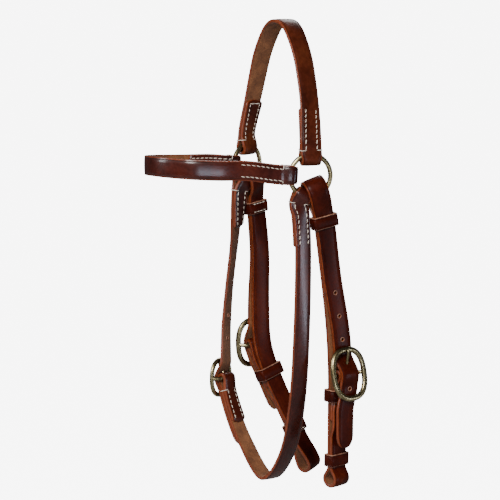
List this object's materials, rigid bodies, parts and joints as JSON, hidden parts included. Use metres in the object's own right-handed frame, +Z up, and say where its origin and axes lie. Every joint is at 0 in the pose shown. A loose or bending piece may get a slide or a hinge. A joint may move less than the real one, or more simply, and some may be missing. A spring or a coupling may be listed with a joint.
{
  "type": "bitless headstall",
  "caption": "Leather headstall for a bitless hackamore: crown strap and browband on two rings, buckled throatlash, and two buckled cheekpieces with folds that carry the noseband.",
  "frame": {"origin": "underside of the crown strap where it rests on the poll", "axes": "+Z up, -Y to the front of the head, +X to its near (left) side"},
  "size_m": [0.1802, 0.2203, 0.4951],
  "materials": {
    "leather": "smooth waxed bridle leather, deep mahogany",
    "brass": "antique brass",
    "thread": "waxed natural linen thread"
  },
  "bodies": {
    "headpiece": {"crown_strap": "leather", "crown_stitching": "thread"},
    "near_ring": {"ring_near": "brass"},
    "far_ring": {"ring_far": "brass"},
    "browband": {"browband_strap": "leather", "browband_stitching": "thread"},
    "throatlash": {"throatlash_strap": "leather", "throatlash_billet": "leather", "throatlash_stitching": "thread", "throatlash_buckle_frame": "brass"},
    "throatlash_tongue": {"throatlash_prong": "brass"},
    "near_cheekpiece": {"cheek_near_strap": "leather", "cheek_near_stitching": "thread", "cheek_near_buckle_frame": "brass"},
    "near_cheek_tongue": {"cheek_near_prong": "brass"},
    "near_top_keeper": {"keeper_near_top": "leather"},
    "near_middle_keeper": {"keeper_near_middle": "leather"},
    "near_bottom_keeper": {"keeper_near_bottom": "leather"},
    "far_cheekpiece": {"cheek_far_strap": "leather", "cheek_far_stitching": "thread", "cheek_far_buckle_frame": "brass"},
    "far_cheek_tongue": {"cheek_far_prong": "brass"},
    "far_top_keeper": {"keeper_far_top": "leather"},
    "far_middle_keeper": {"keeper_far_middle": "leather"},
    "far_bottom_keeper": {"keeper_far_bottom": "leather"}
  },
  "joints": [
    {"name": "near_ring_spin", "type": "hinge", "parent": "headpiece", "child": "near_ring", "pos_m": [0.07, -0.0065, -0.153], "axis": [0.9816, -0.1908, 0], "continuous": true},
    {"name": "far_ring_spin", "type": "hinge", "parent": "headpiece", "child": "far_ring", "pos_m": [-0.07, -0.005, -0.153], "axis": [0.9272, 0.3746, 0], "continuous": true},
    {"name": "browband_lift", "type": "hinge", "parent": "headpiece", "child": "browband", "pos_m": [0.07, -0.0065, -0.153], "axis": [-0.9999, 0.0107, 0], "range_deg": [0, 6]},
    {"name": "throatlash_swing", "type": "hinge", "parent": "headpiece", "child": "throatlash", "pos_m": [0.07, -0.0065, -0.153], "axis": [-0.9999, 0.0107, 0], "range_deg": [0, 3]},
    {"name": "near_cheek_swing", "type": "hinge", "parent": "headpiece", "child": "near_cheekpiece", "pos_m": [0.07, -0.0065, -0.153], "axis": [0.9816, -0.1908, 0], "range_deg": [0, 60]},
    {"name": "far_cheek_swing", "type": "hinge", "parent": "headpiece", "child": "far_cheekpiece", "pos_m": [-0.07, -0.005, -0.153], "axis": [0.9272, 0.3746, 0], "range_deg": [0, 60]},
    {"name": "throatlash_tongue_hinge", "type": "hinge", "parent": "throatlash", "child": "throatlash_tongue", "pos_m": [-0.06557, -0.03277, -0.38353], "axis": [0.4542, -0.8898, 0.044], "range_deg": [0, 2.5]},
    {"name": "near_cheek_tongue_hinge", "type": "hinge", "parent": "near_cheekpiece", "child": "near_cheek_tongue", "pos_m": [0.07802, 0.03169, -0.35976], "axis": [-0.1086, 0.9939, 0.0192], "range_deg": [0, 2.5]},
    {"name": "far_cheek_tongue_hinge", "type": "hinge", "parent": "far_cheekpiece", "child": "far_cheek_tongue", "pos_m": [-0.07064, 0.00707, -0.34973], "axis": [0.1019, -0.9893, -0.1045], "range_deg": [0, 2.5]},
    {"name": "near_top_keeper_slide", "type": "slide", "parent": "near_cheekpiece", "child": "near_top_keeper", "axis": [-0.018, 0.1807, -0.9834], "range_m": [0, 0.006]},
    {"name": "near_middle_keeper_slide", "type": "slide", "parent": "near_cheekpiece", "child": "near_middle_keeper", "axis": [0.001, -0.0189, -0.9998], "range_m": [0, 0.006]},
    {"name": "near_bottom_keeper_slide", "type": "slide", "parent": "near_cheekpiece", "child": "near_bottom_keeper", "axis": [-0.0096, -0.0082, -0.9999], "range_m": [-0.008, 0]},
    {"name": "far_top_keeper_slide", "type": "slide", "parent": "far_cheekpiece", "child": "far_top_keeper", "axis": [0.0159, 0.1212, -0.9925], "range_m": [0, 0.006]},
    {"name": "far_middle_keeper_slide", "type": "slide", "parent": "far_cheekpiece", "child": "far_middle_keeper", "axis": [0.1971, 0.3037, -0.9322], "range_m": [0, 0.002]},
    {"name": "far_bottom_keeper_slide", "type": "slide", "parent": "far_cheekpiece", "child": "far_bottom_keeper", "axis": [0.2182, 0.3242, -0.9205], "range_m": [-0.008, 0]}
  ]
}
